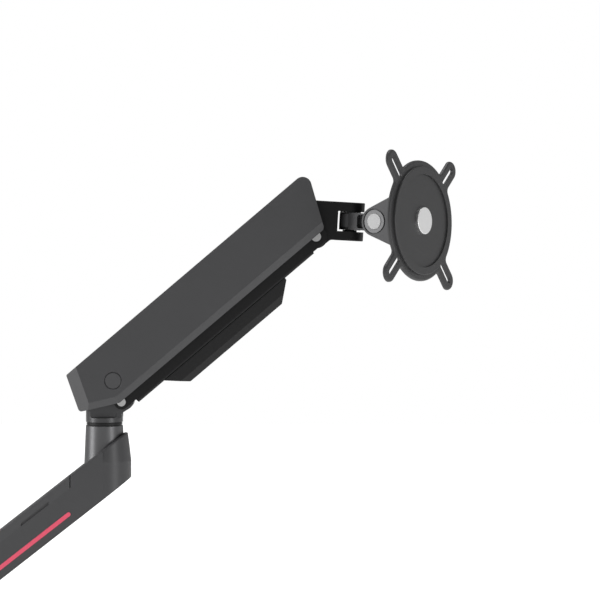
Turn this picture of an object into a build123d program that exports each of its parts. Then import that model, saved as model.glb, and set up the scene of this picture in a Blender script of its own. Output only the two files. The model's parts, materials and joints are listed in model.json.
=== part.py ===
from build123d import *
import os
from math import asin, atan2, cos, degrees, hypot, radians, sin, tan

# Gas-spring monitor arm on a desk clamp. Millimetres.
# +X runs along the stretched arm towards the screen, +Z is up.
# The origin is on the desk surface, on the axis of the base swivel.

# ---- driving dimensions ----
base_to_elbow = 199.6       # swivel axis to elbow axis, level distance
low_slope = 38.0            # rise of the lower arm, degrees
low_height = 35.8           # height of the lower arm's side, square to its slope
low_bottom_at_base = 30.1   # lower edge of the lower arm, taken at the swivel axis
barrel_r = 24.4             # barrels of the lower arm, and half its width
column_r = 15.0             # swivel column
arm_length = 231.6          # pivot to pivot of the upper arm
arm_rise = 40.33            # elevation of the upper arm as stored, degrees
pivot_back = 7.15           # each upper pivot stands behind the lower one by this
pivot_up = 19.75            # and above it by this
cover_half = 24.0           # half the width of the upper arm cover
cover_wall = 2.4            # its wall
cover_top = 51.0            # its top above the line of the lower pivots
fork_droop = 3.3            # the fork hangs this far below level, degrees
cover_to_fork = 11.4        # the fork's side lies this far in from the cover's
pan_rest = -33.8            # the head is turned this far to the near side, degrees
pan_to_tilt = 36.0          # pan axis to tilt axis
tilt_lift = 1.4             # the tilt axis stands this far above the fork's middle
tilt_rest = 1.6             # the head leans back by this as stored, degrees
tilt_to_plate = 42.7        # tilt axis to the raised ring that meets the screen
plate_roll = -3.4           # turn of the screen plate on its bolt, degrees
plate_r = 54.2              # round part of the screen plate
desk_thickness = 30.0       # desk held in the clamp as stored
run = 0.05                  # radial running clearance of pins and shafts
gap = 0.4                   # side clearance between pieces that turn past each other
spring_stroke_max = 23.0    # the gas rod sinks this far into its cylinder

fork_half = cover_half - cover_to_fork      # half the width of the fork, and the round of its prongs
slope_tan = tan(radians(low_slope))
slope_cos = cos(radians(low_slope))
slope_sin = sin(radians(low_slope))


def low_line(x, up=0.0):
    """Height at x of a line that runs along the lower arm, up from its lower edge."""
    return low_bottom_at_base + x * slope_tan + up / slope_cos


def bar_x(y, z, r, x0, x1):
    return Pos((x0 + x1) / 2, y, z) * Rot(0, 90, 0) * Cylinder(r, x1 - x0)


def bar_y(x, z, r, y0, y1):
    return Pos(x, (y0 + y1) / 2, z) * Rot(90, 0, 0) * Cylinder(r, y1 - y0)


def bar_z(x, y, r, z0, z1):
    return Pos(x, y, (z0 + z1) / 2) * Cylinder(r, z1 - z0)


def ring_y(x, z, outer, inner, y0, y1):
    return bar_y(x, z, outer, y0, y1) - bar_y(x, z, inner, y0 - 1, y1 + 1)


def ring_z(x, y, outer, inner, z0, z1):
    return bar_z(x, y, outer, z0, z1) - bar_z(x, y, inner, z0 - 1, z1 + 1)


def block(x0, x1, y0, y1, z0, z1):
    return Pos((x0 + x1) / 2, (y0 + y1) / 2, (z0 + z1) / 2) * Box(x1 - x0, y1 - y0, z1 - z0)


def prism(points, y0, y1, radii=0.0):
    """Outline in X and Z made solid from y0 to y1, its corners rounded by radii."""
    face = Plane.XZ * make_face(FilletPolyline(*points, radius=radii, close=True))
    return Pos(0, y1, 0) * extrude(face, amount=y1 - y0)


def hull_bar(a, ra, b, rb, y0, y1):
    """Two round ends joined by their outer tangents."""
    length = hypot(b[0] - a[0], b[1] - a[1])
    along = atan2(b[1] - a[1], b[0] - a[0])
    lean = asin((ra - rb) / length)
    sides = []
    for turn in (1, -1):
        across = along + turn * (radians(90) - lean)
        sides.append([(p[0] + r * cos(across), p[1] + r * sin(across)) for p, r in ((a, ra), (b, rb))])
    corners = [sides[0][0], sides[0][1], sides[1][1], sides[1][0]]
    return prism(corners, y0, y1) + bar_y(*a, ra, y0, y1) + bar_y(*b, rb, y0, y1)


def hexagon_z(x, y, flats, z0, z1):
    shape = Plane.XY.offset(z0) * Pos(x, y) * RegularPolygon(flats / 2, 6, major_radius=False)
    return extrude(shape, amount=z1 - z0)


def turned(outline):
    """Solid turned about Z from an outline of radius and height."""
    return revolve(Plane.XZ * make_face(Polyline(*outline, close=True)), Axis.Z)


def far_twin(near):
    """The same piece on the far side."""
    return mirror(near, Plane.XZ)


nodes = {}

# ---- base ----
pad_thickness = 1.5
base_top = 12.0
base_x0 = -44.0
base_x1 = 52.0
base_half = 42.0
column_top = 41.0
swivel_bush_r = column_r + 2
barrel_bottom = 18.0        # flat underside of the lower arm's base barrel
base_mid = (base_x0 + base_x1) / 2
bracket_x = -38.0           # face of the bracket that meets the desk edge
bracket_steel = 5.0
bracket_half = 32.0
leg_end = -18.0             # the bracket's short leg runs in under the base plate to here
bracket_screw_r = 3.0
bracket_screw_x = -28.0
bracket_screw_ys = (-20.0, 20.0)
head_deep = 3.2


def make_base():
    plate = extrude(Pos(base_mid, 0, pad_thickness) * RectangleRounded(base_x1 - base_x0, 2 * base_half, 14),
                    amount=base_top - pad_thickness)
    plate = fillet(plate.edges().group_by(Axis.Z)[-1], 2.5)
    plate -= block(base_x0 - 1, leg_end, -bracket_half, bracket_half, 0, bracket_steel)
    for y in bracket_screw_ys:
        plate -= bar_z(bracket_screw_x, y, bracket_screw_r, 0, base_top + 1)
        plate -= bar_z(bracket_screw_x, y, 2 * bracket_screw_r, base_top - head_deep, base_top + 1)
    nodes["base_plate"] = plate

    pad_outline = RectangleRounded(base_x1 - leg_end - 6, 2 * base_half - 6, 8)
    pad = extrude(Pos((base_x1 + leg_end) / 2, 0, 0) * pad_outline, amount=pad_thickness)
    nodes["base_pad"] = pad

    bolt_r = 4.2
    column = bar_z(0, 0, column_r, base_top, column_top) - bar_z(0, 0, bolt_r, column_top - 20, column_top + 1)
    nodes["swivel_column"] = column
    collar_top = barrel_bottom - gap
    collar_r = barrel_r + 3
    nodes["column_collar"] = turned([(column_r, base_top), (collar_r, base_top), (collar_r, base_top + 2),
                                     (barrel_r, collar_top), (column_r, collar_top)])
    washer_top = column_top + 2
    nodes["column_washer"] = ring_z(0, 0, column_r + 2.4, bolt_r, column_top, washer_top)
    nodes["column_bolt"] = (bar_z(0, 0, bolt_r, column_top - 20, washer_top)
                            + hexagon_z(0, 0, 13, washer_top, washer_top + 4.5))


# ---- clamp ----
jaw_z = -95.0               # top of the jaw under the desk
jaw_end = 26.0
screw_x = 4.0
screw_r = 5.0
screw_tip_r = 4.0
pad_r = 24.0
nut_height = 12.0
pad_top = -desk_thickness
rubber = 2.0
pad_steel = 4.0
socket_bottom = pad_top - rubber - pad_steel - 7.0
screw_length = 112.0


def make_clamp():
    outline = [(leg_end, bracket_steel), (bracket_x - bracket_steel, bracket_steel),
               (bracket_x - bracket_steel, jaw_z - bracket_steel), (jaw_end, jaw_z - bracket_steel),
               (jaw_end, jaw_z), (bracket_x, jaw_z), (bracket_x, 0), (leg_end, 0)]
    inner = 2.0
    outer = inner + bracket_steel
    bracket = prism(outline, -bracket_half, bracket_half, [0, outer, outer, 0, 0, inner, inner, 0])
    bracket -= bar_z(screw_x, 0, screw_r + 1, jaw_z - bracket_steel - 1, jaw_z + 1)
    for y in bracket_screw_ys:
        bracket -= bar_z(bracket_screw_x, y, bracket_screw_r, -1, bracket_steel + 1)
    corners = bracket.edges().filter_by(Axis.Z).group_by(Axis.X)[-1]
    nodes["clamp_bracket"] = fillet(corners, 12)

    screws = None
    for y in bracket_screw_ys:
        screw = (bar_z(bracket_screw_x, y, bracket_screw_r, 0.5, base_top - head_deep)
                 + bar_z(bracket_screw_x, y, 2 * bracket_screw_r - 0.3, base_top - head_deep, base_top - 0.2))
        screw -= hexagon_z(bracket_screw_x, y, 4, base_top - 2, base_top)
        screws = screw if screws is None else Compound([*screws.solids(), *screw.solids()])
    nodes["bracket_screws"] = screws

    nut_top = jaw_z - bracket_steel
    nodes["clamp_nut"] = (hexagon_z(screw_x, 0, 17, nut_top - nut_height, nut_top)
                          - bar_z(screw_x, 0, screw_r + run, nut_top - nut_height - 1, nut_top + 1))

    steel_top = pad_top - rubber
    nodes["clamp_pad_rubber"] = bar_z(screw_x, 0, pad_r - 0.5, steel_top, pad_top)
    plate = bar_z(screw_x, 0, pad_r, steel_top - pad_steel, steel_top)
    plate += bar_z(screw_x, 0, screw_tip_r + 5, socket_bottom, steel_top - pad_steel)
    plate -= bar_z(screw_x, 0, screw_tip_r + run, socket_bottom - 1, steel_top - pad_steel - 0.2)
    nodes["clamp_pad_plate"] = plate

    shoulder = socket_bottom - 0.3
    screw_end = shoulder - screw_length
    nodes["clamp_screw"] = (bar_z(screw_x, 0, screw_tip_r, shoulder, steel_top - pad_steel - 0.4)
                            + bar_z(screw_x, 0, screw_r, screw_end, shoulder))


def make_knob():
    screw_end = socket_bottom - 0.3 - screw_length
    knob = bar_z(0, 0, 17, screw_end - 2, screw_end + 14)
    for side in range(6):
        knob += Rot(0, 0, 60 * side + 30) * bar_z(17, 0, 6, screw_end - 2, screw_end + 14)
    knob -= bar_z(0, 0, screw_r, screw_end, screw_end + 15)
    nodes["clamp_knob"] = Pos(screw_x, 0, 0) * knob


# ---- lower arm ----
elbow_x = base_to_elbow
cable_cover_height = 8.9    # side of the cable cover, square to the slope
cable_cover_end = elbow_x - 30.1
cable_cover_wall = 2.4
low_wall = 4.0
duct_deep = 15.0
duct_end = elbow_x - 40.0
bore_room = 3.2             # round the column and its washer
cup_floor = low_line(elbow_x) + 20.6
cup_waist = low_line(elbow_x, low_height) - 11.5     # the cup draws in above this
cup_rim = low_line(elbow_x, low_height) + 13.8       # and is cut level here
cup_draw = 3.9
plug_r = 13.0
post_top = low_line(elbow_x, low_height) + 21.15
post_top_r = 17.0
post_foot_r = 19.0
post_bore = 8.0
elbow_washer_thickness = 2.8
knuckle_bottom = post_top + elbow_washer_thickness + 0.1
pin_forward = 16.5          # the rear lower pin stands this far past the elbow axis
pin_x = elbow_x + pin_forward
pin_z = knuckle_bottom + 18.8
inlay_low = 7.0             # red strip above the lower edge, square to the slope
inlay_high = inlay_low + 3.7
inlay_start = 24.0
inlay_end = elbow_x - 29.2
inlay_deep = 1.0
inlay_proud = 0.15
seam_up = low_height - cable_cover_height


def sloped(x0, x1, up0, up1, y0, y1, radii=0.0):
    """Bar that follows the lower arm's slope, between two heights above its lower edge."""
    outline = [(x0, low_line(x0, up0)), (x1, low_line(x1, up0)),
               (x1, low_line(x1, up1)), (x0, low_line(x0, up1))]
    return prism(outline, y0, y1, radii)


def make_lower_arm():
    far = 60.0
    section = [(-barrel_r, 0), (barrel_r, 0), (barrel_r, low_height), (-barrel_r, low_height)]
    across = Plane(origin=(0, 0, low_bottom_at_base), x_dir=(0, 1, 0), z_dir=(slope_cos, 0, slope_sin))
    long_bar = extrude(across * make_face(Polyline(*section, close=True)), amount=2 * far + elbow_x / slope_cos)
    along = Pos(-far * slope_cos, 0, -far * slope_sin) * long_bar
    body = along & block(0, elbow_x, -far, far, -far, 5 * far)

    slope_space = sloped(elbow_x - 1, elbow_x + far, 0, low_height, -far, far)
    foot = low_line(elbow_x) - 30
    rim = low_line(elbow_x + barrel_r, low_height) + 5
    cup_line = Polyline((0, rim), (0, foot), (barrel_r, foot), (barrel_r, cup_waist))
    tip = low_line(elbow_x + barrel_r, low_height)
    bulge = ThreePointArc((barrel_r, cup_waist), (barrel_r - 0.45 * cup_draw, (cup_waist + tip) / 2),
                          (barrel_r - cup_draw, tip))
    cup_top = Polyline(bulge @ 1, (barrel_r - cup_draw - 1, rim), (0, rim))
    cup_face = make_face([*cup_line.edges(), bulge, *cup_top.edges()])
    body += (Pos(elbow_x, 0, 0) * revolve(Plane.XZ * cup_face, Axis.Z)) & slope_space

    below_roof = sloped(-far, 1, -far, low_height, -far, far)
    barrel = bar_z(0, 0, barrel_r, barrel_bottom, 2 * far)
    body += barrel & block(-far, 1, -far, far, 0, 3 * far) & below_roof
    body += bar_z(0, 0, barrel_r, barrel_bottom, low_line(0) + 10) & sloped(-far, far, -far, 5, -far, far)
    return body


def make_lower_arm_pieces():
    far = 60.0
    body = make_lower_arm()
    rims = [e for e in body.edges() if abs(e.center().Z - low_line(e.center().X, low_height)) < 0.3]
    body = fillet(rims, 1.8)
    body -= block(elbow_x, elbow_x + far, -far, far, cup_rim, cup_rim + far)
    duct_half = barrel_r - low_wall

    cover = body & sloped(-far, cable_cover_end, seam_up, low_height + far, -far, far)
    inside = barrel_r - cable_cover_wall - 1
    roof = low_height - cable_cover_wall
    cover -= sloped(0, cable_cover_end - cable_cover_wall, seam_up - 5, roof, -inside, inside)
    cover -= bar_z(0, 0, inside, 0, 3 * far) & sloped(-far, 1, seam_up - 5, roof, -far, far)
    grip_end = cable_cover_end - 19.0
    grip = sloped(grip_end - 25.0, grip_end, seam_up - 1, seam_up + 2.2, -far, 1.5 - barrel_r)
    cover = cover - grip - far_twin(grip)
    for x in (30.0, 130.0):
        tongue = sloped(x, x + 12, seam_up - 5, seam_up + 3, -duct_half, 2.0 - duct_half)
        root = sloped(x, x + 12, seam_up, seam_up + 3, -inside - 0.5, 2.0 - duct_half)
        cover = cover + tongue + root + far_twin(tongue) + far_twin(root)
    nodes["cable_cover"] = cover

    casting = body - sloped(-far, cable_cover_end + 2 * gap, seam_up, low_height + far, -far, far)
    casting -= sloped(0, duct_end, seam_up - duct_deep, seam_up + 1, -duct_half, duct_half)
    casting -= bar_z(0, 0, column_r + bore_room, column_top - gap, 2 * far)
    casting -= bar_z(0, 0, swivel_bush_r, 0, column_top)
    for x in (34.0, duct_end - 20):
        casting -= block(x, x + 18, -10, 10, 0, low_line(x + 9, seam_up - 2))
    casting -= bar_z(elbow_x, 0, post_foot_r + 0.5, cup_floor, post_top + far)
    casting -= bar_z(elbow_x, 0, plug_r, 0, cup_floor + 1)
    side_y = inlay_deep - barrel_r
    end_round = 0.48 * (inlay_high - inlay_low)
    groove = sloped(inlay_start, inlay_end, inlay_low, inlay_high, -far, side_y, end_round)
    casting = casting - groove - far_twin(groove)
    nodes["lower_arm_casting"] = casting
    inlay = groove & block(-far, 5 * far, -barrel_r - inlay_proud, 0, -far, 5 * far)
    nodes["red_inlay_near"] = inlay
    nodes["red_inlay_far"] = far_twin(inlay)

    above_line = sloped(elbow_x - far, elbow_x + far, 0, low_height, -far, far)
    plug = bar_z(elbow_x, 0, plug_r - run, 0, cup_floor) & above_line
    plug -= bar_z(elbow_x, 0, plug_r - 2, low_line(elbow_x + plug_r, 3), cup_floor + 1)
    nodes["elbow_plug"] = plug
    nodes["swivel_bush"] = ring_z(0, 0, swivel_bush_r, column_r + run, barrel_bottom, column_top - gap)

    post = turned([(post_bore + run, cup_floor), (post_foot_r, cup_floor), (post_top_r, post_top - 0.8),
                   (post_top_r - 0.8, post_top), (post_bore + run, post_top)])
    post = Pos(elbow_x, 0, 0) * post
    post -= bar_z(elbow_x, 0, plug_r, cup_floor - 1, cup_floor + 15)
    nodes["elbow_post"] = post
    washer = ring_z(elbow_x, 0, post_top_r - 1.4, post_bore + run, post_top, post_top + elbow_washer_thickness)
    middle = post_top + elbow_washer_thickness / 2
    washer += ring_z(elbow_x, 0, post_top_r - 0.7, post_bore + run, middle - 0.6, middle + 0.6)
    nodes["elbow_washer"] = washer


# ---- knuckle ----
lower_rear = (pin_x, pin_z)
upper_rear = (pin_x - pivot_back, pin_z + pivot_up)
knuckle_r = 16.8
slot_half = 5.4
rear_pin_r = 3.0
rear_head_r = 3.9
upper_pin_r = 4.0
boss_face = fork_half + gap
link_inner = fork_half + gap
knuckle_half = link_inner - 1.4     # leaves room for a washer at each side
link_steel = 2.5
link_outer = link_inner + link_steel
eye_play = 3.0              # room round the lower pin for the rod's eye
eye_r = 8.8


def make_knuckle():
    low = knuckle_bottom
    panel = low + 4.0
    top = upper_rear[1] - 8
    drum = bar_z(elbow_x, 0, knuckle_r, low, top)
    left = elbow_x - 12.2
    pocket = prism([(left, top + 9), (left, panel), (elbow_x + 11.6, panel), (elbow_x + 11.6, panel + 5),
                    (elbow_x + 19, panel + 10.5), (elbow_x + 60, panel + 10.5), (elbow_x + 60, top + 9)],
                   -40, -knuckle_half, [0, 2.4, 2.4, 4, 5, 0, 0])
    drum = drum - pocket - far_twin(pocket)
    drum -= block(elbow_x - 40, elbow_x + 40, -40, -knuckle_half, panel + 14, top + 9)
    drum -= block(elbow_x - 40, elbow_x + 40, knuckle_half, 40, panel + 14, top + 9)
    heel = (pin_x + 2.5, pin_z + 0.6)
    heel_r = 8.1
    lobes = hull_bar(heel, heel_r, upper_rear, 11.0, -knuckle_half, knuckle_half)
    front = elbow_x + knuckle_r - 0.4
    under = radians(32.8)
    neck = prism([(elbow_x - 10, panel), (front, panel), (front, low + 8.3),
                  (heel[0] + heel_r * sin(under), heel[1] - heel_r * cos(under)), (elbow_x + 5, top)],
                 -knuckle_half, knuckle_half, [0, 0, 3, 0, 0])
    body = drum + lobes + neck
    eye_room = bar_y(*lower_rear, eye_r + eye_play + 0.1, -slot_half, slot_half)
    sweep = [lower_rear, (pin_x + 30, pin_z - 22), (pin_x + 60, pin_z), (pin_x + 40, pin_z + 50)]
    body -= eye_room + prism(sweep, -slot_half, slot_half)
    rod_room_r = gas_rod_r + eye_play
    rod_room = hull_bar(lower_rear, rod_room_r, (pin_x + 30, pin_z - 12), rod_room_r, -slot_half, slot_half)
    rod_room += hull_bar(lower_rear, rod_room_r, (pin_x + 22, pin_z + 24), rod_room_r, -slot_half, slot_half)
    body -= rod_room
    body -= bar_y(*lower_rear, rear_pin_r, -20, 20)
    body -= bar_y(*upper_rear, upper_pin_r, -20, 20)
    body -= bar_z(elbow_x, 0, post_bore, low - 1, low + 6.5)
    nodes["elbow_knuckle"] = body

    nut_bottom = cup_floor + 4.7
    washer_bottom = nut_bottom + 8
    washer_top = washer_bottom + 2
    nodes["elbow_spindle"] = bar_z(elbow_x, 0, post_bore, nut_bottom - 1, low + 6.5)
    nodes["spindle_washer"] = ring_z(elbow_x, 0, 12.4, post_bore, washer_bottom, washer_top)
    nodes["spindle_nut"] = (hexagon_z(elbow_x, 0, 20, nut_bottom, washer_bottom)
                            - bar_z(elbow_x, 0, post_bore, nut_bottom - 1, washer_bottom + 1))
    nodes["rear_upper_pin"] = bar_y(*upper_rear, upper_pin_r, -cover_half + 4.4, cover_half - 4.4)
    pin = bar_y(*lower_rear, rear_pin_r, -link_outer, link_outer)
    for side in (-1, 1):
        head = bar_y(*lower_rear, rear_head_r, link_outer + 0.1, link_outer + 1.9)
        head += bar_y(*lower_rear, rear_pin_r, link_outer, link_outer + 0.1)
        head = head - bar_y(*lower_rear, rear_head_r - 1.3, link_outer + 1.1, link_outer + 3)
        pin += head if side > 0 else far_twin(head)
    nodes["rear_lower_pin"] = pin
    spacer = ring_y(*lower_rear, 6.5, rear_pin_r, -link_inner + 0.1, -knuckle_half)
    nodes["rear_pin_washers"] = Compound([*spacer.solids(), *far_twin(spacer).solids()])


# ---- upper arm: built lying along X from the rear lower pin, then raised ----
arm_place = Location(Plane(origin=(pin_x, 0, pin_z), x_dir=(cos(radians(arm_rise)), 0, sin(radians(arm_rise))),
                           z_dir=(-sin(radians(arm_rise)), 0, cos(radians(arm_rise)))))
offset_angle = atan2(pivot_up, -pivot_back) - radians(arm_rise)
offset_length = hypot(pivot_up, pivot_back)
rear_up = (offset_length * cos(offset_angle), offset_length * sin(offset_angle))
front_up = (rear_up[0] + arm_length, rear_up[1])
front_low = (arm_length, 0.0)
lip_draw = 2.6              # the lower edge of the cover draws in by this
lip_tall = 6.2              # over this height
rear_bevel = 12.7           # the big bevel at the rear runs this far along
rear_bevel_in = 12.0        # and this far in
rear_pin_boss = 10.3
front_pin_boss = 8.5
cap_r = 7.2
cap_thickness = 2.2
spring_mount = (arm_length - 53.6, 31.0)
spring_pin_r = 3.0
cheek_outer = 12.9          # the spring bracket's two cheeks
cheek_steel = 2.5
tension_screw_r = 4.0
cylinder_r = 9.0
gas_rod_r = 4.0
cylinder_rear = 46.0        # rear end of the gas cylinder from the lower pin
link_low = -10.3            # underside of the lower link
cover_knee = (-1.2, 0.6)    # lowest corner of the cover, where its rear underside begins
cover_rear_low = (-35.4, 18.0)
cover_rear_high = (-22.8, cover_top)
cover_front_low = (arm_length + 10.2, cover_knee[1])
cover_front_high = (arm_length + 32.8, cover_top)


def cover_shape(inset):
    """The cover's outer form, or its hollow when it is set in by the wall."""
    top = cover_top - inset
    half = cover_half - inset
    rear_low = cover_rear_low
    slant = hypot(cover_rear_high[0] - rear_low[0], cover_rear_high[1] - rear_low[1])
    rear_run = ((cover_rear_high[0] - rear_low[0]) / slant, (cover_rear_high[1] - rear_low[1]) / slant)
    sink = 0.0 if inset == 0 else 12.0
    reach = 0.0 if inset == 0 else 30.0
    front_lean = (cover_front_high[0] - cover_front_low[0]) / (cover_front_high[1] - cover_front_low[1])

    def rear_at(z):
        return rear_low[0] + (z - rear_low[1]) * rear_run[0] / rear_run[1] + inset / rear_run[1]

    def front_at(z):
        return cover_front_low[0] + (z - cover_front_low[1]) * front_lean + reach

    rear_under = rear_low[1] - sink
    under = cover_knee[1] - sink
    outline = [(rear_at(rear_under), rear_under), (cover_knee[0], under), (front_at(under), under),
               (front_at(top), top), (rear_at(top), top)]
    radii = [3.0, 0.6, 4.5, 8.0, 1.5] if inset == 0 else [0, 0, 0, 0, 1.0]
    body = prism(outline, -half, half, radii)

    # big bevel at the rear
    crease = (rear_at(rear_low[1]) + rear_bevel - inset / 3, rear_low[1])
    span = 60.0
    place = Plane(origin=(crease[0] - span * rear_run[0], 0, crease[1] - span * rear_run[1]),
                  x_dir=(rear_run[1], 0, -rear_run[0]), z_dir=(rear_run[0], 0, rear_run[1]))
    wide = 3.0
    wedge_face = make_face(Polyline((0, -half), (-wide * rear_bevel, -half + wide * rear_bevel_in),
                                    (-wide * rear_bevel, -half - 20), (0, -half - 20), close=True))
    wedge = extrude(place * wedge_face, amount=3 * span)
    wedge = wedge & block(-200, 400, -200, 0, -200, 200)
    body = body - wedge - far_twin(wedge)

    # lower edges drawn in
    beyond = (2 * rear_low[0] - cover_knee[0], 2 * rear_low[1] - cover_knee[1])
    for start, end in ((beyond, cover_knee), (cover_knee, (2 * arm_length, cover_knee[1]))):
        run_length = hypot(end[0] - start[0], end[1] - start[1])
        line = ((end[0] - start[0]) / run_length, (end[1] - start[1]) / run_length)
        mid = ((start[0] + end[0]) / 2, (start[1] + end[1]) / 2)
        place = Plane(origin=(mid[0] - 250 * line[0], 0, mid[1] - 250 * line[1]),
                      x_dir=(-line[1], 0, line[0]), z_dir=(line[0], 0, line[1]))
        wedge_face = make_face(Polyline((lip_tall, -half), (0, -half + lip_draw), (-30, -half + lip_draw),
                                        (-30, -half - 20), (lip_tall, -half - 20), close=True))
        wedge = extrude(place * wedge_face, amount=500)
        body = body - wedge - far_twin(wedge)
    return body


def make_upper_arm():
    shell = cover_shape(0)
    shell -= cover_shape(cover_wall)
    boss = ring_y(*rear_up, rear_pin_boss, upper_pin_r + run, knuckle_half + gap, cover_half - cover_wall + 0.5)
    front_boss = ring_y(*front_up, front_pin_boss, upper_pin_r, boss_face, cover_half - cover_wall + 0.5)
    hole = bar_y(*rear_up, cap_r + run, cover_half - cover_wall, cover_half + 5)
    shell = shell + boss + far_twin(boss) + front_boss + far_twin(front_boss)
    shell = shell - hole - far_twin(hole)
    mouths = [e for e in shell.edges().filter_by(GeomType.CIRCLE)
              if abs(abs(e.center().Y) - cover_half) < 0.01 and abs(e.radius - cap_r - run) < 0.01]
    shell = chamfer(mouths, 1.1)
    nodes["upper_arm_cover"] = arm_place * shell
    cap = bar_y(*rear_up, cap_r, cover_half - cover_wall, cover_half - cover_wall + cap_thickness)
    cap = fillet(cap.edges().group_by(Axis.Y)[-1], 0.4)
    nodes["pivot_cap_far"] = arm_place * cap
    nodes["pivot_cap_near"] = arm_place * far_twin(cap)
    nodes["front_upper_pin"] = arm_place * bar_y(*front_up, upper_pin_r, -cover_half + 4.4, cover_half - 4.4)

    roof = cover_top - cover_wall
    mount_x, mount_z = spring_mount
    web_x = mount_x + 16.0
    screw_head_x = web_x + 18.0
    screw_head_end = screw_head_x + 8.0
    cheek = block(mount_x - 13, web_x, cheek_outer - cheek_steel, cheek_outer, mount_z - 11, roof)
    web = block(web_x, web_x + 3, -cheek_outer, cheek_outer, mount_z - 11, roof)
    mount = cheek + far_twin(cheek) + web
    mount -= bar_y(*spring_mount, spring_pin_r, -20, 20)
    mount -= bar_x(0, mount_z, tension_screw_r, web_x - 4, web_x + 6)
    nodes["spring_bracket"] = arm_place * mount
    nodes["spring_pin"] = arm_place * bar_y(*spring_mount, spring_pin_r, -cheek_outer, cheek_outer)
    screw = bar_x(0, mount_z, tension_screw_r - run, web_x - 6.5, screw_head_x)
    screw += bar_x(0, mount_z, 6.5, screw_head_x, screw_head_end)
    screw -= Pos(screw_head_end, 0, mount_z) * Rot(0, 90, 0) * extrude(RegularPolygon(3, 6), amount=-5)
    nodes["tension_screw"] = arm_place * screw


box_low = -26.4             # underside of the cable box
box_back = 42.2             # ends of the cable box along the arm
box_front = arm_length - 46.1
box_screw_xs = (box_back + 22.6, box_front - 22.7)
front_head_r = 4.4


def draw_in_below(body, half, low, inward, tall):
    """Cut the two long lower edges of a body that lies along X to a slant."""
    lean = inward / tall
    corner = [(-half - 1, low - 1), (-half + inward + lean, low - 1), (-half - lean, low + tall + 1),
              (-half - 1, low + tall + 1)]
    cut = Pos(-100, 0, 0) * extrude(Plane.YZ * make_face(Polyline(*corner, close=True)), amount=500)
    return body - cut - far_twin(cut)


def make_lower_link():
    rear_round = 6.8
    front_round = 10.0
    step = 12.0
    rim = 2.0
    front_step = arm_length - 11.2
    flange_outline = [(0, rim), (0, -rear_round), (step - 0.5, -rear_round), (step, link_low),
                      (front_step, link_low), (front_step, -8.9), (arm_length, -8.9), (arm_length, rim)]
    flange = prism(flange_outline, -link_outer, -link_inner)
    flange += bar_y(0, 0, rear_round, -link_outer, -link_inner)
    flange += bar_y(*front_low, front_round, -link_outer, -link_inner)
    floor = block(step, front_step, -link_outer, link_outer, link_low, link_low + link_steel)
    channel = flange + far_twin(flange) + floor
    bends = [e for e in channel.edges() if abs(e.center().Z - link_low) < 0.01
             and abs(abs(e.center().Y) - link_outer) < 0.01 and e.length > 50]
    channel = fillet(bends, 2.2)
    channel -= bar_y(0, 0, rear_pin_r + run, -40, 40)
    channel -= bar_y(*front_low, rear_pin_r + run, -40, 40)
    recess = bar_y(*front_low, front_head_r + 1.4, link_outer - 0.7, link_outer + 5)
    channel = channel - recess - far_twin(recess)
    for x in box_screw_xs:
        channel -= bar_z(x, 0, 2.0, link_low - 1, link_low + 5)
    nodes["lower_link"] = arm_place * channel

    box_half = link_outer - 0.6
    low = box_low
    wall = 2.0
    front = box_front
    front_step_x = front - 17.0
    back = box_back
    back_low = back + 17.4
    outline = [(back, link_low), (back_low, low), (front_step_x, low), (front - 0.3, link_low - 2.5),
               (front, link_low)]
    box = prism(outline, -box_half, box_half, [0, 2.0, 2.0, 1.0, 0])
    box = draw_in_below(box, box_half, low, 4.0, 6.0)
    inside = [(back + 2.9, link_low + 1), (back_low + 1.2, low + wall), (front_step_x - 1.0, low + wall),
              (front - 2.9, link_low - 2.5), (front - 2.6, link_low + 1)]
    hollow = prism(inside, -box_half + wall, box_half - wall)
    hollow = draw_in_below(hollow, box_half - wall, low + wall, 3.4, 5.0)
    box -= hollow
    box -= block(back - 12, back_low + 1, -8, 8, low + wall + 3.5, link_low - 2.5)
    box -= block(front_step_x - 2, front + 12, -8, 8, low + wall + 3.5, link_low - 2.5)
    screws = []
    for x in box_screw_xs:
        box += bar_z(x, 0, 4.2, low + wall - 0.5, link_low)
        box -= bar_z(x, 0, 2.0, low - 1, link_low + 1)
        box -= bar_z(x, 0, 3.4, low - 1, low + 3)
        screw = bar_z(x, 0, 2.0, low + 3, link_low + link_steel) + bar_z(x, 0, 3.3, low + 0.8, low + 3)
        screws.extend((arm_place * screw).solids())
    nodes["cable_box"] = arm_place * box
    nodes["cable_box_screws"] = Compound(screws)


def make_gas_spring():
    reach = hypot(*spring_mount)
    lean = degrees(atan2(spring_mount[1], spring_mount[0]))
    place = arm_place * Location((0, 0, 0), (0, -lean, 0))
    end = reach - 12.0
    bore_end = end - 9.0
    tube = bar_x(0, 0, cylinder_r, cylinder_rear, end)
    tube -= bar_x(0, 0, gas_rod_r + run, cylinder_rear - 1, bore_end)
    tube = fillet(tube.edges().filter_by(GeomType.CIRCLE).group_by(Axis.X)[-1], 1.5)
    nodes["gas_cylinder"] = place * tube
    eye = bar_y(reach, 0, 7.0, -4.5, 4.5) + bar_x(0, 0, 4.4, end, reach)
    eye -= bar_y(reach, 0, spring_pin_r, -10, 10)
    nodes["gas_cylinder_eye"] = place * eye
    rod_start = 11.0
    nodes["gas_rod"] = place * bar_x(0, 0, gas_rod_r, rod_start, bore_end - spring_stroke_max - 1.5)
    rod_eye = bar_y(0, 0, eye_r, -4.6, 4.6) + (bar_x(0, 0, 4.4, 6, rod_start))
    rod_eye -= bar_y(0, 0, rear_pin_r + eye_play, -10, 10)
    nodes["gas_rod_eye"] = place * rod_eye


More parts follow.
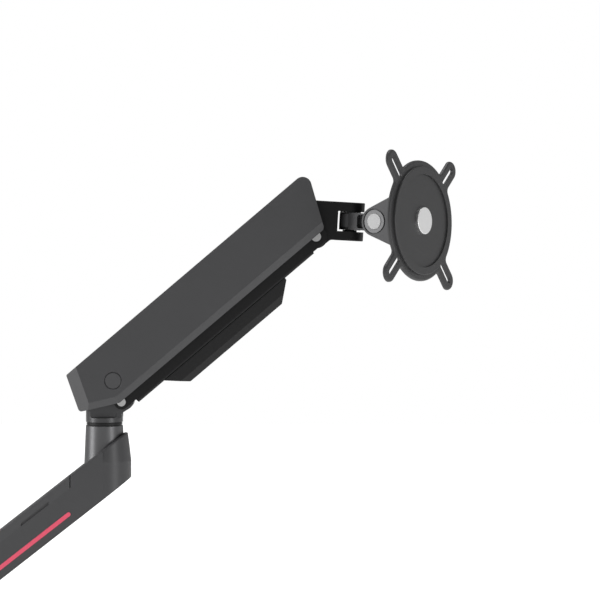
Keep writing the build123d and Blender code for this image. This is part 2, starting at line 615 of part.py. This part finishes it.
# ---- head: each piece is built straight ahead of its own axis, then turned ----
fork_ahead = (cos(radians(fork_droop)), 0, -sin(radians(fork_droop)))
fork_up = (sin(radians(fork_droop)), 0, cos(radians(fork_droop)))
front_low_world = (pin_x + arm_length * cos(radians(arm_rise)), pin_z + arm_length * sin(radians(arm_rise)))
pan_ahead = 31.0            # pan axis from the front lower pin
pan_above = 13.6
pan_centre = (front_low_world[0] + pan_ahead, front_low_world[1] + pan_above)
fork_place = Location(Plane(origin=(pan_centre[0], 0, pan_centre[1]), x_dir=fork_ahead, z_dir=fork_up))
pan_place = fork_place * Location((0, 0, 0), (0, 0, pan_rest))
level_turn = -degrees(asin(cos(radians(pan_rest)) * sin(radians(fork_droop))))
tilt_place = pan_place * Location((pan_to_tilt, 0, tilt_lift), (0, level_turn - tilt_rest, 0))
plate_place = tilt_place * Location((0, 0, 0), (plate_roll, 0, 0))


def in_fork(x, z):
    """A point beside the pan axis, level and plumb, in the fork's own directions."""
    return (x * fork_ahead[0] + z * fork_ahead[2], x * fork_up[0] + z * fork_up[2])


fork_low_pin = in_fork(-pan_ahead, -pan_above)
fork_up_pin = in_fork(-pan_ahead - pivot_back, pivot_up - pan_above)
fork_height = 34.9
fork_slot = 18.3
slot_back = -11.4
pan_pin_r = 4.0
pan_barrel_r = 9.9
barrel_low = -5.0           # the pan knuckle's barrel, from the middle of the slot
barrel_high = 6.8
bush_low = -7.6             # its flanged bush
bush_high = 8.2
bush_wall = 1.2
ear_outer = 16.0
ear_thick = 5.0
tilt_lobe_r = 13.3
tilt_pin_r = 4.0
tilt_hub_r = 9.6
ring_r = 10.3
ring_pocket_r = 11.6
ring_deep = 1.0
tilt_cap_r = 7.2
fan_half = 26.1             # half height of the ears where they meet the flange
ring_proud = 2.5            # the raised ring stands this far out from the plate's ears
ear_face = tilt_to_plate - ring_proud
plate_thick = 3.0
plate_back = ear_face - plate_thick
plate_ring_r = 48.6
recess_r = 41.8
recess_floor = tilt_to_plate - 1.5
flange_r = 30.0
flange_thick = 4.3
friction = 0.35
hub_bolt_r = 5.0
hub_head_r = 8.5
hub_head_tall = 1.3


def make_fork():
    top = fork_height / 2
    outline = [(fork_up_pin[0], top), (fork_half, top), (fork_half, -top), (-17.2, -top),
               (fork_low_pin[0] + 5, fork_low_pin[1] - 9.4), (fork_low_pin[0], fork_low_pin[1]), fork_up_pin]
    body = prism(outline, -fork_half, fork_half, [0, 0, 0, 4, 0, 0, 0])
    body += hull_bar(fork_low_pin, 10.6, fork_up_pin, 12.0, -fork_half, fork_half)
    body += hull_bar(fork_up_pin, 12.0, (fork_up_pin[0] + 12, top - 12.0), 12.0, -fork_half, fork_half)
    nose = block(0, 40, -40, 40, -top - 5, top + 5) - bar_z(0, 0, fork_half, -top - 6, top + 6)
    body -= nose
    body -= block(slot_back, 40, -40, 40, -fork_slot / 2, fork_slot / 2)
    rims = [e for e in body.edges() if abs(abs(e.center().Z) - top) < 0.01 and e.center().X > -30]
    body = fillet(rims, 0.8)
    body -= bar_z(0, 0, pan_pin_r, -top - 1, top + 1)
    body -= bar_y(*fork_low_pin, rear_pin_r, -40, 40)
    body -= bar_y(*fork_up_pin, upper_pin_r + run, -40, 40)
    nodes["head_fork"] = fork_place * body

    pin = bar_z(0, 0, pan_pin_r, -top + 1.5, top - 0.3)
    pin -= hexagon_z(0, 0, 4, top - 3, top)
    nodes["pan_pin"] = fork_place * pin
    washers = []
    for r, z0, z1 in ((9.4, bush_high + 0.1, fork_slot / 2), (6.5, -fork_slot / 2, bush_low - 0.1)):
        washers.extend((fork_place * ring_z(0, 0, r, pan_pin_r, z0, z1)).solids())
    nodes["pan_washers"] = Compound(washers)

    pin = bar_y(*fork_low_pin, rear_pin_r, -link_outer, link_outer)
    head = bar_y(*fork_low_pin, front_head_r, link_outer - 0.6, link_outer + 1.6)
    head -= bar_y(*fork_low_pin, front_head_r - 1.3, link_outer + 0.8, link_outer + 3)
    pin = pin + head + far_twin(head)
    nodes["front_lower_pin"] = fork_place * pin


def make_pan_knuckle():
    inner = ear_outer - ear_thick - 0.3
    neck_half = inner - 1.5
    barrel = bar_z(0, 0, pan_barrel_r, barrel_low, barrel_high)
    arm = block(0, pan_to_tilt, -neck_half, neck_half, bush_low + 0.3, bush_high)
    flange_room = bar_z(0, 0, pan_barrel_r + 0.2, bush_low, barrel_low)
    flange_room += bar_z(0, 0, pan_barrel_r + 0.2, barrel_high, bush_high + 1)
    hub = bar_y(pan_to_tilt, tilt_lift, tilt_hub_r, -inner, inner)
    body = (arm - flange_room) + barrel + hub
    # pockets in both sides of the neck, and the slit that lets the barrel grip
    pocket = block(13.2, pan_to_tilt - 11, neck_half - 4.5, neck_half + 10, bush_low + 2, bush_high - 1.4)
    pocket = fillet(pocket.edges().filter_by(Axis.Y), 2.5)
    body = body - pocket - far_twin(pocket)
    bush_r = pan_pin_r + bush_wall
    slit = block(-0.5, 0.5, -pan_barrel_r - 1, 0.5 - bush_r, barrel_low - 1, barrel_high + 1)
    body -= Rot(0, 0, 38.5) * slit
    body -= bar_z(0, 0, bush_r, bush_low - 1, bush_high + 1)
    body -= bar_y(pan_to_tilt, tilt_lift, tilt_pin_r + run, -30, 30)
    nodes["pan_knuckle"] = pan_place * body
    flange = pan_barrel_r - 0.1
    bore = pan_pin_r + run
    bush = turned([(bore, bush_low), (flange, bush_low), (flange, barrel_low), (bush_r, barrel_low),
                   (bush_r, barrel_high), (flange, barrel_high), (flange, bush_high), (bore, bush_high)])
    nodes["pan_bush"] = pan_place * bush


def make_tilt_bracket():
    flange_front = plate_back - friction - 0.1
    flange_back = flange_front - flange_thick
    ear = hull_bar((0, 0), tilt_lobe_r, (flange_back, 0), fan_half, -ear_outer, -ear_outer + ear_thick)
    ear = ear & block(-40, flange_back + 1, -40, 40, -60, 60)
    ear -= bar_y(0, 0, ring_pocket_r, -ear_outer - 1, -ear_outer + ring_deep)
    ear -= bar_y(0, 0, tilt_pin_r, -40, 0)
    flange = bar_x(0, 0, flange_r, flange_back, flange_front)
    web_half = ear_outer - ear_thick + 1
    web = block(flange_back - 6, flange_back + 1, -web_half, web_half, -20, 20)
    bracket = ear + far_twin(ear) + flange + (web & bar_x(0, 0, flange_r, flange_back - 7, flange_back + 1))
    bracket -= bar_x(0, 0, hub_bolt_r, flange_back - 20, flange_front + 5)
    bracket -= bar_x(0, 0, 9.0, flange_back - 20, flange_back - 1.0)
    nodes["tilt_bracket"] = tilt_place * bracket

    nodes["tilt_pin"] = tilt_place * bar_y(0, 0, tilt_pin_r, -ear_outer + 0.2, ear_outer - 0.2)
    floor = ear_outer - ring_deep
    ring = ring_y(0, 0, ring_r, tilt_cap_r + 0.1, floor, ear_outer + 0.1)
    cap = bar_y(0, 0, tilt_cap_r, ear_outer - 0.2, ear_outer + 0.5)
    cap = fillet(cap.edges().group_by(Axis.Y)[-1], 0.3)
    cap += bar_y(0, 0, tilt_cap_r, floor, ear_outer - 0.2) - bar_y(0, 0, tilt_pin_r, 0, 40)
    nodes["tilt_ring_far"] = tilt_place * ring
    nodes["tilt_ring_near"] = tilt_place * far_twin(ring)
    nodes["tilt_cap_far"] = tilt_place * cap
    nodes["tilt_cap_near"] = tilt_place * far_twin(cap)
    head_foot = recess_floor + 0.05
    bolt = bar_x(0, 0, hub_bolt_r, flange_back - 1.0, head_foot)
    bolt += bar_x(0, 0, hub_head_r, head_foot, recess_floor + hub_head_tall)
    bolt += bar_x(0, 0, hub_bolt_r + 3.0, flange_back - 4.0, flange_back - 1.0)
    nodes["plate_bolt"] = tilt_place * bolt
    washer = bar_x(0, 0, flange_r - 1.5, flange_front, flange_front + friction)
    washer -= bar_x(0, 0, hub_bolt_r, flange_front - 1, flange_front + 2)
    nodes["plate_washer"] = tilt_place * washer


slot_in = 75 * 2 ** 0.5 / 2     # screw circle of the 75 mm pattern
slot_out = 100 * 2 ** 0.5 / 2   # and of the 100 mm pattern
slot_r = 2.6
ear_tip_r = 8.7
ear_roll = 2.0              # the ears and the round part roll back at their edge
centre_cap_r = 12.1
centre_cap_tall = 2.7


def make_screen_plate():
    disc = bar_x(0, 0, plate_r, plate_back, ear_face)
    ears = None
    slots = None
    for quarter in range(4):
        turn = Rot(45 + 90 * quarter, 0, 0)
        ear = turn * (block(plate_back, ear_face, 20, slot_out, -ear_tip_r, ear_tip_r)
                      + bar_x(slot_out, 0, ear_tip_r, plate_back, ear_face))
        slot = turn * (block(plate_back - 5, ear_face + 5, slot_in, slot_out, -slot_r, slot_r)
                       + bar_x(slot_in, 0, slot_r, plate_back - 5, ear_face + 5)
                       + bar_x(slot_out, 0, slot_r, plate_back - 5, ear_face + 5))
        ears = ear if ears is None else ears + ear
        slots = slot if slots is None else slots + slot
    body = disc + ears
    corners = [e for e in body.edges().filter_by(Axis.X) if hypot(e.center().Y, e.center().Z) < plate_r + 1]
    body = fillet(corners, 4.0)
    body = fillet([e for e in body.edges() if abs(e.center().X - ear_face) < 0.01], ear_roll)
    body -= slots
    ring = bar_x(0, 0, plate_ring_r, ear_face - 1, tilt_to_plate)
    body += fillet(ring.edges().group_by(Axis.X)[-1], 0.6)
    body -= bar_x(0, 0, recess_r, recess_floor, tilt_to_plate + 1)
    body -= bar_x(0, 0, hub_bolt_r + run, plate_back - 1, recess_floor + 1)
    nodes["screen_plate"] = plate_place * body
    cap = bar_x(0, 0, centre_cap_r, recess_floor, recess_floor + centre_cap_tall)
    cap = fillet(cap.edges().group_by(Axis.X)[-1], 0.5)
    cap -= bar_x(0, 0, hub_head_r + gap, recess_floor - 1, recess_floor + hub_head_tall + 0.3)
    nodes["centre_cap"] = plate_place * cap


make_base()
make_clamp()
make_knob()
make_lower_arm_pieces()
make_knuckle()
make_upper_arm()
make_lower_link()
make_gas_spring()
make_fork()
make_pan_knuckle()
make_tilt_bracket()
make_screen_plate()

os.makedirs("parts", exist_ok=True)
for name, solid in nodes.items():
    export_step(solid, f"parts/{name}.step")
    print(name, len(solid.solids()), round(solid.volume))
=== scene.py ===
import bpy
import bmesh
import json
from math import radians
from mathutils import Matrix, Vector


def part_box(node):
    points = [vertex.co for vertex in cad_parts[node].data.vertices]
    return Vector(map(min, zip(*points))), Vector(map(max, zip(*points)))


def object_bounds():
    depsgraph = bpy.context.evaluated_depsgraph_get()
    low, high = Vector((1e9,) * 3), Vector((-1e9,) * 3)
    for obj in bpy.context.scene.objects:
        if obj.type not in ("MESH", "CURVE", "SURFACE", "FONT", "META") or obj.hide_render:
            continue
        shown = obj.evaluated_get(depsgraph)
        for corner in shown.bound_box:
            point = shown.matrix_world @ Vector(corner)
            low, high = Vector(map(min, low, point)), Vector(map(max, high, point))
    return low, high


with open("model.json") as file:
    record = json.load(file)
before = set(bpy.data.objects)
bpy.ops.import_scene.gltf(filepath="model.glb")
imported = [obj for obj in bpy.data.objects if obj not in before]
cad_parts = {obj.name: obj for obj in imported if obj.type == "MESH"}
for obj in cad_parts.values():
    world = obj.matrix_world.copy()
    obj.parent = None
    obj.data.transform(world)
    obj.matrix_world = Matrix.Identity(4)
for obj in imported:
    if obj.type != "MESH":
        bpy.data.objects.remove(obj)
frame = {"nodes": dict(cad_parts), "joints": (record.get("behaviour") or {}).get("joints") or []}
cadBox = [list(corner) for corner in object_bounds()]
nodes = frame["nodes"]
joints = {joint["name"]: joint for joint in frame["joints"]}
scene = bpy.context.scene
scene.view_settings.view_transform = "Standard"
print("frame loaded:", len(nodes), "nodes")

# camera, lights, floor

studio = {
    "cameraPlace": (0.378, -2.595, 0.438),
    "cameraDown": 1.58,
    "cameraReach": 50,
    "lens": 170.9,
    "sensor": 36.0,
    "worldLight": 0.34,
    "floorColour": (0.93, 0.93, 0.93),
    "floorGlow": 0.45,
    "floorDrop": 0.02,
    "floorSize": 12.0,
}

lights = {  # places, targets and sizes in metres
    "leftSoftbox": {"place": (-2.15, -0.62, 0.9), "target": (0.25, 0, 0.3), "size": (1.1, 2.2), "watts": 36},
    "rightSoftbox": {"place": (1.95, -1.55, 0.7), "target": (0.3, 0, 0.3), "size": (0.6, 1.8), "watts": 14},
    "topSoftbox": {"place": (0.3, 0.2, 2.4), "target": (0.3, 0, 0.3), "size": (1.6, 1.0), "watts": 24},
    "backCard": {"place": (3.1, 1.2, 0.5), "target": (0.4, 0, 0.4), "size": (1.6, 1.6), "watts": 2.5},
}


def whiteToTheEye(tree, socket, asLight):
    # the strength is 1 for what the camera sees straight on and asLight for every other ray
    rays = tree.nodes.new("ShaderNodeLightPath")
    strength = tree.nodes.new("ShaderNodeMath")
    strength.operation = "MULTIPLY_ADD"
    tree.links.new(rays.outputs["Is Camera Ray"], strength.inputs[0])
    strength.inputs[1].default_value = 1.0 - asLight
    strength.inputs[2].default_value = asLight
    tree.links.new(strength.outputs[0], socket)


def makeCamera():
    camera = bpy.data.objects.new("camera", bpy.data.cameras.new("camera"))
    camera.data.lens = studio["lens"]
    camera.data.sensor_width = studio["sensor"]
    camera.data.clip_end = studio["cameraReach"]
    camera.location = studio["cameraPlace"]
    camera.rotation_euler = (radians(90 - studio["cameraDown"]), 0, 0)
    scene.collection.objects.link(camera)
    scene.camera = camera


def makeBackdrop():
    world = bpy.data.worlds.new("studioAir")
    world.use_nodes = True
    air = world.node_tree.nodes["Background"]
    air.inputs["Color"].default_value = (1, 1, 1, 1)
    whiteToTheEye(world.node_tree, air.inputs["Strength"], studio["worldLight"])
    scene.world = world


def makeLight(name, place, target, size, watts):
    light = bpy.data.objects.new(name, bpy.data.lights.new(name, "AREA"))
    light.data.shape = "RECTANGLE"
    light.data.size, light.data.size_y = size
    light.data.energy = watts
    light.location = place
    light.rotation_euler = (Vector(target) - Vector(place)).to_track_quat("-Z", "Y").to_euler()
    scene.collection.objects.link(light)


def makeFloor():
    grid = bmesh.new()
    bmesh.ops.create_grid(grid, x_segments=1, y_segments=1, size=studio["floorSize"] / 2)
    bmesh.ops.translate(grid, vec=(0, 0, cadBox[0][2] - studio["floorDrop"]), verts=grid.verts)
    mesh = bpy.data.meshes.new("floor")
    grid.to_mesh(mesh)
    grid.free()
    floor = bpy.data.objects.new("floor", mesh)
    scene.collection.objects.link(floor)
    return floor


makeCamera()
makeBackdrop()
for name, values in lights.items():
    makeLight(name, **values)
floorPiece = makeFloor()
print("studio ready:", len(lights), "lights")

# shader groups

grainNoise = {"Detail": 3.0, "Roughness": 0.6}
cloudNoise = {"Scale": 22.0, "Detail": 4.0, "Roughness": 0.55}
ringNoise = {"Scale": 1.0, "Detail": 3.0, "Roughness": 0.7}
noiseMiddle = 0.5
grainShare = 0.8  # of the fine grain in the unevenness of the roughness


def newGroup(name, inputs, outputs):
    group = bpy.data.node_groups.new(name, "ShaderNodeTree")
    for label, kind, value in inputs:
        socket = group.interface.new_socket(label, in_out="INPUT", socket_type=kind)
        socket.default_value = value
    for label, kind in outputs:
        group.interface.new_socket(label, in_out="OUTPUT", socket_type=kind)
    enter = group.nodes.new("NodeGroupInput")
    leave = group.nodes.new("NodeGroupOutput")
    return group, enter, leave


def addNode(tree, kind, **values):
    # a value goes to the node's property of that name, or else to its socket
    node = tree.nodes.new(kind)
    for key, value in values.items():
        if hasattr(node, key):
            setattr(node, key, value)
        else:
            node.inputs[key].default_value = value
    return node


def makeGrainGroup():
    # fine orange-peel grain: height for bump, a slow drift of the colour, and an uneven roughness
    group, enter, leave = newGroup(
        "fineGrain",
        [("Vector", "NodeSocketVector", (0, 0, 0)), ("Grain Size", "NodeSocketFloat", 0.0004),
         ("Colour", "NodeSocketColor", (0.1, 0.1, 0.1, 1)), ("Drift", "NodeSocketFloat", 0.06),
         ("Roughness", "NodeSocketFloat", 0.45), ("Unevenness", "NodeSocketFloat", 0.06)],
        [("Colour", "NodeSocketColor"), ("Roughness", "NodeSocketFloat"), ("Height", "NodeSocketFloat")])
    links = group.links
    grainScale = addNode(group, "ShaderNodeMath", operation="DIVIDE")
    grainScale.inputs[0].default_value = 1.0
    links.new(enter.outputs["Grain Size"], grainScale.inputs[1])
    grain = addNode(group, "ShaderNodeTexNoise", **grainNoise)
    links.new(enter.outputs["Vector"], grain.inputs["Vector"])
    links.new(grainScale.outputs[0], grain.inputs["Scale"])
    links.new(grain.outputs["Fac"], leave.inputs["Height"])

    cloud = addNode(group, "ShaderNodeTexNoise", **cloudNoise)
    links.new(enter.outputs["Vector"], cloud.inputs["Vector"])
    spread = addNode(group, "ShaderNodeMath", operation="SUBTRACT")
    spread.inputs[1].default_value = noiseMiddle
    links.new(cloud.outputs["Fac"], spread.inputs[0])
    drift = addNode(group, "ShaderNodeMath", operation="MULTIPLY_ADD")
    links.new(spread.outputs[0], drift.inputs[0])
    links.new(enter.outputs["Drift"], drift.inputs[1])
    drift.inputs[2].default_value = 1.0
    tint = addNode(group, "ShaderNodeVectorMath", operation="SCALE")
    links.new(enter.outputs["Colour"], tint.inputs[0])
    links.new(drift.outputs[0], tint.inputs["Scale"])
    links.new(tint.outputs[0], leave.inputs["Colour"])

    speck = addNode(group, "ShaderNodeMath", operation="ADD")
    links.new(spread.outputs[0], speck.inputs[0])
    grainSpread = addNode(group, "ShaderNodeMath", operation="MULTIPLY_ADD")
    links.new(grain.outputs["Fac"], grainSpread.inputs[0])
    grainSpread.inputs[1].default_value = grainShare
    grainSpread.inputs[2].default_value = -grainShare * noiseMiddle
    links.new(grainSpread.outputs[0], speck.inputs[1])
    rough = addNode(group, "ShaderNodeMath", operation="MULTIPLY_ADD")
    links.new(speck.outputs[0], rough.inputs[0])
    links.new(enter.outputs["Unevenness"], rough.inputs[1])
    links.new(enter.outputs["Roughness"], rough.inputs[2])
    links.new(rough.outputs[0], leave.inputs["Roughness"])
    return group


def makeTurnedGroup():
    # rings left by a lathe round the Z axis of the vector, with a few deeper ones
    group, enter, leave = newGroup(
        "turnedRings",
        [("Vector", "NodeSocketVector", (0, 0, 0)), ("Ring Width", "NodeSocketFloat", 0.0003),
         ("Roughness", "NodeSocketFloat", 0.25), ("Unevenness", "NodeSocketFloat", 0.1)],
        [("Roughness", "NodeSocketFloat"), ("Height", "NodeSocketFloat")])
    links = group.links
    flat = addNode(group, "ShaderNodeVectorMath", operation="MULTIPLY")
    flat.inputs[1].default_value = (1, 1, 0)
    links.new(enter.outputs["Vector"], flat.inputs[0])
    radius = addNode(group, "ShaderNodeVectorMath", operation="LENGTH")
    links.new(flat.outputs[0], radius.inputs[0])
    ringCount = addNode(group, "ShaderNodeMath", operation="DIVIDE")
    links.new(radius.outputs["Value"], ringCount.inputs[0])
    links.new(enter.outputs["Ring Width"], ringCount.inputs[1])
    rings = addNode(group, "ShaderNodeTexNoise", noise_dimensions="1D", **ringNoise)
    links.new(ringCount.outputs[0], rings.inputs["W"])
    links.new(rings.outputs["Fac"], leave.inputs["Height"])
    rough = addNode(group, "ShaderNodeMath", operation="MULTIPLY_ADD")
    links.new(rings.outputs["Fac"], rough.inputs[0])
    links.new(enter.outputs["Unevenness"], rough.inputs[1])
    links.new(enter.outputs["Roughness"], rough.inputs[2])
    links.new(rough.outputs[0], leave.inputs["Roughness"])
    return group


grainGroup = makeGrainGroup()
turnedGroup = makeTurnedGroup()
print("shader groups ready")

# materials

turned = {"ringWidth": 0.0003, "bump": 0.3, "bumpDistance": 0.00002}


def newMaterial(name, metallic, specular=0.5):
    material = bpy.data.materials.new(name)
    material.use_nodes = True
    tree = material.node_tree
    shader = tree.nodes["Principled BSDF"]
    shader.inputs["Metallic"].default_value = metallic
    shader.inputs["Specular IOR Level"].default_value = specular
    place = tree.nodes.new("ShaderNodeTexCoord")
    return material, tree, shader, place


def bumpFrom(tree, shader, height, strength, distance):
    bump = tree.nodes.new("ShaderNodeBump")
    bump.inputs["Strength"].default_value = strength
    bump.inputs["Distance"].default_value = distance
    tree.links.new(height, bump.inputs["Height"])
    tree.links.new(bump.outputs["Normal"], shader.inputs["Normal"])


def grainedMaterial(name, colour, roughness, metallic=0.0, grainSize=0.0004, drift=0.08,
                    unevenness=0.08, bump=0.25, bumpDistance=0.00003, specular=0.5):
    material, tree, shader, place = newMaterial(name, metallic, specular)
    grain = tree.nodes.new("ShaderNodeGroup")
    grain.node_tree = grainGroup
    grain.inputs["Grain Size"].default_value = grainSize
    grain.inputs["Colour"].default_value = (*colour, 1)
    grain.inputs["Drift"].default_value = drift
    grain.inputs["Roughness"].default_value = roughness
    grain.inputs["Unevenness"].default_value = unevenness
    tree.links.new(place.outputs["Object"], grain.inputs["Vector"])
    tree.links.new(grain.outputs["Colour"], shader.inputs["Base Color"])
    tree.links.new(grain.outputs["Roughness"], shader.inputs["Roughness"])
    bumpFrom(tree, shader, grain.outputs["Height"], bump, bumpDistance)
    return material


def turnedMaterial(name, colour, roughness, centre, axis):
    # the Mapping node brings the piece's own axis to Z
    material, tree, shader, place = newMaterial(name, 1.0)
    shader.inputs["Base Color"].default_value = (*colour, 1)
    turn = Vector(axis).to_track_quat("Z", "Y").inverted()
    mapping = tree.nodes.new("ShaderNodeMapping")
    mapping.inputs["Rotation"].default_value = turn.to_euler()
    mapping.inputs["Location"].default_value = -(turn @ Vector(centre))
    tree.links.new(place.outputs["Object"], mapping.inputs["Vector"])
    rings = tree.nodes.new("ShaderNodeGroup")
    rings.node_tree = turnedGroup
    rings.inputs["Ring Width"].default_value = turned["ringWidth"]
    rings.inputs["Roughness"].default_value = roughness
    tree.links.new(mapping.outputs["Vector"], rings.inputs["Vector"])
    tree.links.new(rings.outputs["Roughness"], shader.inputs["Roughness"])
    bumpFrom(tree, shader, rings.outputs["Height"], turned["bump"], turned["bumpDistance"])
    return material


def centreOf(name):
    low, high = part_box(name)
    return (Vector(low) + Vector(high)) / 2


grainedValues = {  # sizes in metres
    "armPaint": {"colour": (0.055, 0.055, 0.057), "roughness": 0.4, "metallic": 0.2, "specular": 0.45},
    "coverPlastic": {"colour": (0.05, 0.05, 0.052), "roughness": 0.45, "grainSize": 0.0003},
    "satinAlloy": {"colour": (0.12, 0.12, 0.123), "roughness": 0.38, "metallic": 0.8, "grainSize": 0.0002,
                   "bump": 0.12},
    # painted shade: the post's satin alloy darkened for the knuckle, so its flat front panel comes out as
    # dark as it looks in shade
    "knuckleAlloyPaintedShade": {"colour": (0.07, 0.07, 0.072), "roughness": 0.36, "metallic": 0.75, "grainSize": 0.0002},
    "platePaint": {"colour": (0.042, 0.042, 0.043), "roughness": 0.45, "metallic": 0.2, "specular": 0.4},
    "headPaint": {"colour": (0.052, 0.052, 0.054), "roughness": 0.42, "metallic": 0.25},
    "blackSteel": {"colour": (0.006, 0.006, 0.0063), "roughness": 0.4, "specular": 0.25},
    "blackPlastic": {"colour": (0.008, 0.008, 0.0083), "roughness": 0.5, "grainSize": 0.0005, "bump": 0.4,
                     "specular": 0.3},
    "redStrip": {"colour": (0.72, 0.08, 0.14), "roughness": 0.35, "grainSize": 0.0003, "drift": 0.05,
                 "bump": 0.1},
    "zincSteel": {"colour": (0.5, 0.5, 0.49), "roughness": 0.32, "metallic": 1.0, "drift": 0.15,
                  "unevenness": 0.2},
    "softRubber": {"colour": (0.018, 0.018, 0.018), "roughness": 0.75, "grainSize": 0.0008, "bump": 0.6},
    "ringAlloy": {"colour": (0.16, 0.16, 0.163), "roughness": 0.45, "metallic": 0.6, "grainSize": 0.0002,
                  "bump": 0.1},
    "floorCard": {"colour": studio["floorColour"], "roughness": 0.8, "grainSize": 0.002, "drift": 0.01,
                  "bump": 0.05},
}
finishes = {name: grainedMaterial(name, **values) for name, values in grainedValues.items()}

floorTree = finishes["floorCard"].node_tree
floorShader = floorTree.nodes["Principled BSDF"]
floorShader.inputs["Emission Strength"].default_value = 1.0
whiteToTheEye(floorTree, floorShader.inputs["Emission Color"], studio["floorGlow"])

plateAxis = joints["plate_rotate"]["axis"]
tiltAxis = joints["head_tilt"]["axis"]
turnedPieces = {  # grey is the steel's colour in all three channels
    "centre_cap": {"axis": plateAxis, "grey": 0.92, "roughness": 0.26},
    "tilt_cap_near": {"axis": tiltAxis, "grey": 0.24, "roughness": 0.3},
    "tilt_cap_far": {"axis": tiltAxis, "grey": 0.24, "roughness": 0.3},
    "rear_lower_pin": {"axis": (0, 1, 0), "grey": 0.6, "roughness": 0.25},
    "front_lower_pin": {"axis": (0, 1, 0), "grey": 0.6, "roughness": 0.25},
}
for name, values in turnedPieces.items():
    finishes[name] = turnedMaterial(name + "Steel", [values["grey"]] * 3, values["roughness"],
                                    centreOf(name), values["axis"])
print("materials ready:", len(finishes))

# which piece wears which material

finishOf = {
    "armPaint": ["upper_arm_cover", "lower_arm_casting", "base_plate"],
    "coverPlastic": ["cable_cover", "pivot_cap_near", "pivot_cap_far", "elbow_plug"],
    "satinAlloy": ["elbow_post"],
    # painted shade: the knuckle wears a darker copy of the post's satin alloy
    "knuckleAlloyPaintedShade": ["elbow_knuckle"],
    "platePaint": ["screen_plate"],
    "headPaint": ["tilt_bracket", "pan_knuckle"],
    "blackSteel": ["clamp_bracket", "lower_link", "head_fork", "clamp_screw", "gas_cylinder",
                   "spring_bracket", "bracket_screws", "column_collar", "pan_pin"],
    "blackPlastic": ["cable_box", "clamp_knob", "elbow_washer", "pan_washers", "rear_pin_washers",
                     "swivel_bush", "pan_bush", "plate_washer"],
    "redStrip": ["red_inlay_near", "red_inlay_far"],
    "zincSteel": ["swivel_column", "column_washer", "column_bolt", "clamp_nut", "clamp_pad_plate",
                  "elbow_spindle", "spindle_washer", "spindle_nut", "rear_upper_pin", "front_upper_pin",
                  "spring_pin", "tension_screw", "gas_cylinder_eye", "gas_rod_eye", "cable_box_screws",
                  "tilt_pin", "plate_bolt", "gas_rod"],
    "softRubber": ["base_pad", "clamp_pad_rubber"],
    "ringAlloy": ["tilt_ring_near", "tilt_ring_far"],
}
finishOf.update({name: [name] for name in turnedPieces})


def paint(piece, material):
    piece.data.materials.clear()
    piece.data.materials.append(material)


for finish, names in finishOf.items():
    for name in names:
        paint(nodes[name], finishes[finish])
paint(floorPiece, finishes["floorCard"])
print("finishes on", sum(len(names) for names in finishOf.values()), "nodes")

# edges that catch the light

bevelSegments = 2
bevelFromAngle = 28
softEdges = {  # width of the soft edge, in metres
    "upper_arm_cover": 0.0006, "lower_arm_casting": 0.0005, "cable_cover": 0.0004, "elbow_post": 0.0004,
    "elbow_knuckle": 0.0006, "lower_link": 0.0003, "cable_box": 0.0006, "head_fork": 0.0004,
    "tilt_bracket": 0.0005, "screen_plate": 0.0003, "centre_cap": 0.0003, "pan_knuckle": 0.0004,
    "clamp_bracket": 0.0006, "base_plate": 0.0005,
}


def softenEdges(piece, width):
    bevel = piece.modifiers.new("softEdge", "BEVEL")
    bevel.width = width
    bevel.segments = bevelSegments
    bevel.limit_method = "ANGLE"
    bevel.angle_limit = radians(bevelFromAngle)
    bevel.harden_normals = True
    bevel.use_clamp_overlap = True


for name, width in softEdges.items():
    softenEdges(nodes[name], width)
print("edges softened on", len(softEdges), "nodes")
